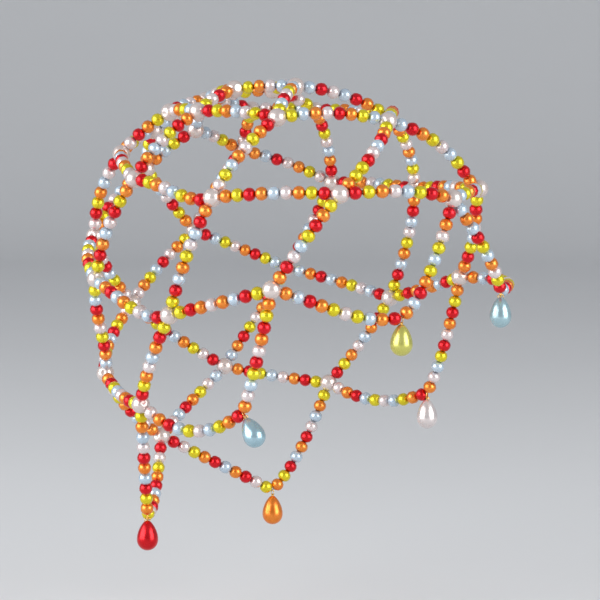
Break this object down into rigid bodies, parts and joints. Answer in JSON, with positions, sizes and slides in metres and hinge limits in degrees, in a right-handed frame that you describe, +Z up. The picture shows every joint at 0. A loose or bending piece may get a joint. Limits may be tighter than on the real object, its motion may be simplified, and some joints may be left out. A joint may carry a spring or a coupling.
{
  "type": "beaded mesh hat",
  "caption": "Open net cap of small pearl beads in white, pale blue, yellow, orange and red, with larger knot pearls and hanging teardrop pearls.",
  "frame": {"origin": "the top of the head that the cap is worn on, just under the top of the net", "axes": "+Z up, -Y the way the wearer faces, -X the wearer's right"},
  "size_m": [0.1757, 0.2117, 0.2297],
  "materials": {
    "crown_star": "pearl",
    "round_a_front": "pearl",
    "round_a_right_front": "pearl",
    "round_a_right_back": "pearl",
    "round_a_back": "pearl",
    "round_a_left_back": "pearl",
    "round_a_left_front": "pearl",
    "round_b_front_right": "pearl",
    "round_b_right": "pearl",
    "round_b_back_right": "pearl",
    "round_b_back_left": "pearl",
    "round_b_left": "pearl",
    "round_b_front_left": "pearl",
    "round_c_front": "pearl",
    "round_c_right_front": "pearl",
    "round_c_right_back": "pearl",
    "round_c_back": "pearl",
    "round_c_left_back": "pearl",
    "round_c_left_front": "pearl",
    "round_d_front_right": "pearl",
    "round_d_right": "pearl",
    "round_d_back_right": "pearl",
    "round_d_back_left": "pearl",
    "round_d_left": "pearl",
    "round_d_front_left": "pearl",
    "round_e_front": "pearl",
    "round_e_right_front": "pearl",
    "round_e_right_back": "pearl",
    "round_e_back": "pearl",
    "round_e_left_back": "pearl",
    "round_e_left_front": "pearl",
    "swag_front_right": "pearl",
    "swag_right": "pearl",
    "swag_back_right": "pearl",
    "swag_back_left": "pearl",
    "swag_left": "pearl",
    "swag_front_left": "pearl",
    "bail_front_right": "polished",
    "drop_front_right": "pearl",
    "bail_right": "polished",
    "drop_right": "pearl",
    "bail_back_right": "polished",
    "drop_back_right": "pearl",
    "bail_back_left": "polished",
    "drop_back_left": "pearl",
    "bail_left": "polished",
    "drop_left": "pearl",
    "bail_front_left": "polished",
    "drop_front_left": "pearl"
  },
  "bodies": {
    "root": {"crown_star": "crown_star", "round_a_front": "round_a_front", "round_a_right_front": "round_a_right_front", "round_a_right_back": "round_a_right_back", "round_a_back": "round_a_back", "round_a_left_back": "round_a_left_back", "round_a_left_front": "round_a_left_front", "round_b_front_right": "round_b_front_right", "round_b_right": "round_b_right", "round_b_back_right": "round_b_back_right", "round_b_back_left": "round_b_back_left", "round_b_left": "round_b_left", "round_b_front_left": "round_b_front_left", "round_c_front": "round_c_front", "round_c_right_front": "round_c_right_front", "round_c_right_back": "round_c_right_back", "round_c_back": "round_c_back", "round_c_left_back": "round_c_left_back", "round_c_left_front": "round_c_left_front", "round_d_front_right": "round_d_front_right", "round_d_right": "round_d_right", "round_d_back_right": "round_d_back_right", "round_d_back_left": "round_d_back_left", "round_d_left": "round_d_left", "round_d_front_left": "round_d_front_left", "round_e_front": "round_e_front", "round_e_right_front": "round_e_right_front", "round_e_right_back": "round_e_right_back", "round_e_back": "round_e_back", "round_e_left_back": "round_e_left_back", "round_e_left_front": "round_e_left_front", "swag_front_right": "swag_front_right", "swag_right": "swag_right", "swag_back_right": "swag_back_right", "swag_back_left": "swag_back_left", "swag_left": "swag_left", "swag_front_left": "swag_front_left", "bail_front_right": "bail_front_right", "drop_front_right": "drop_front_right", "bail_right": "bail_right", "drop_right": "drop_right", "bail_back_right": "bail_back_right", "drop_back_right": "drop_back_right", "bail_back_left": "bail_back_left", "drop_back_left": "drop_back_left", "bail_left": "bail_left", "drop_left": "drop_left", "bail_front_left": "bail_front_left", "drop_front_left": "drop_front_left"}
  },
  "joints": []
}
